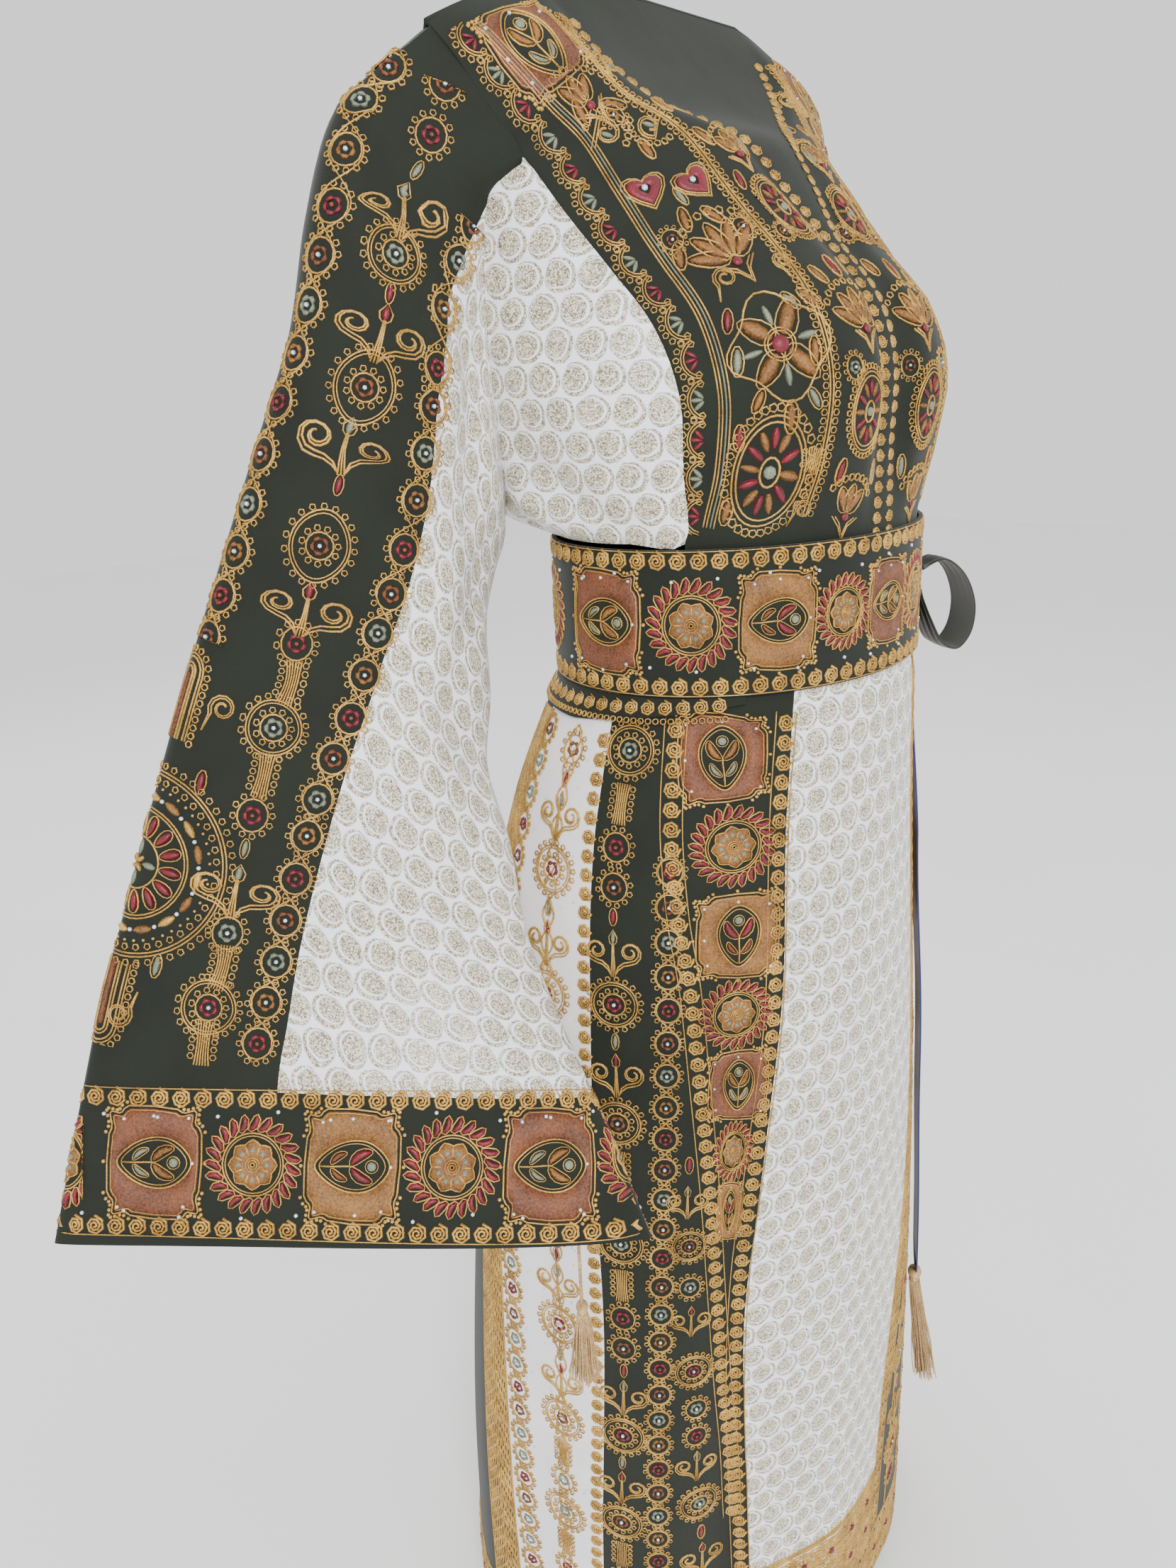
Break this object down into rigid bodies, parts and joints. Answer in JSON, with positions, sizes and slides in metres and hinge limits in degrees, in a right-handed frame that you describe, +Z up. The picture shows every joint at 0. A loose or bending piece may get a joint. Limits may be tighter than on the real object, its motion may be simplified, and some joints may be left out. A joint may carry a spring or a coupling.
{
  "type": "embroidered thobe",
  "caption": "Long dress in worn form: wide bell sleeves, slit neckline, brocade panels, a belt with a tied sash, tassels, and gold and crimson couched embroidery.",
  "frame": {"origin": "middle of the neck opening at shoulder height, where the wearer's shoulders carry the dress", "axes": "+Z up, front towards -Y, the wearer's right hand towards -X"},
  "size_m": [0.9653, 0.3773, 1.25],
  "materials": {
    "green_crepe": "dark green crepe with a fine rib and a soft sheen",
    "brocade": "white jacquard with champagne satin discs and crescents",
    "white_crepe": "white crepe, matt with a faint grain",
    "couched_band": "stiffened dark green band under dense couching",
    "gold_cord": "couched metallic gold cord with a twist",
    "crimson_silk": "crimson satin stitch",
    "rose_silk": "rose-brown satin stitch",
    "grey_silk": "sage grey satin stitch",
    "sequins": "small pearly sequins and beads",
    "sash_satin": "dark green satin with a navy edge",
    "tassel_thread": "beige and gold rayon thread"
  },
  "bodies": {
    "root": {"skirt_front": "brocade", "skirt_side_front_right": "green_crepe", "skirt_side_front_left": "green_crepe", "skirt_side_right": "white_crepe", "skirt_side_left": "white_crepe", "skirt_back": "green_crepe", "hem_band": "green_crepe", "belt_underlap": "couched_band", "belt": "couched_band", "bodice_front": "green_crepe", "bodice_back": "green_crepe", "bodice_gusset_right": "brocade", "bodice_gusset_left": "brocade", "sleeve_top_right": "green_crepe", "sleeve_top_left": "green_crepe", "sleeve_under_right": "brocade", "sleeve_under_left": "brocade", "cuff_right": "couched_band", "cuff_left": "couched_band", "sash_knot": "sash_satin", "sash_loop": "sash_satin", "sash_tail": "sash_satin", "sash_tassel": "tassel_thread", "cuff_tassel_right": "tassel_thread", "cuff_tassel_left": "tassel_thread"}
  },
  "joints": []
}
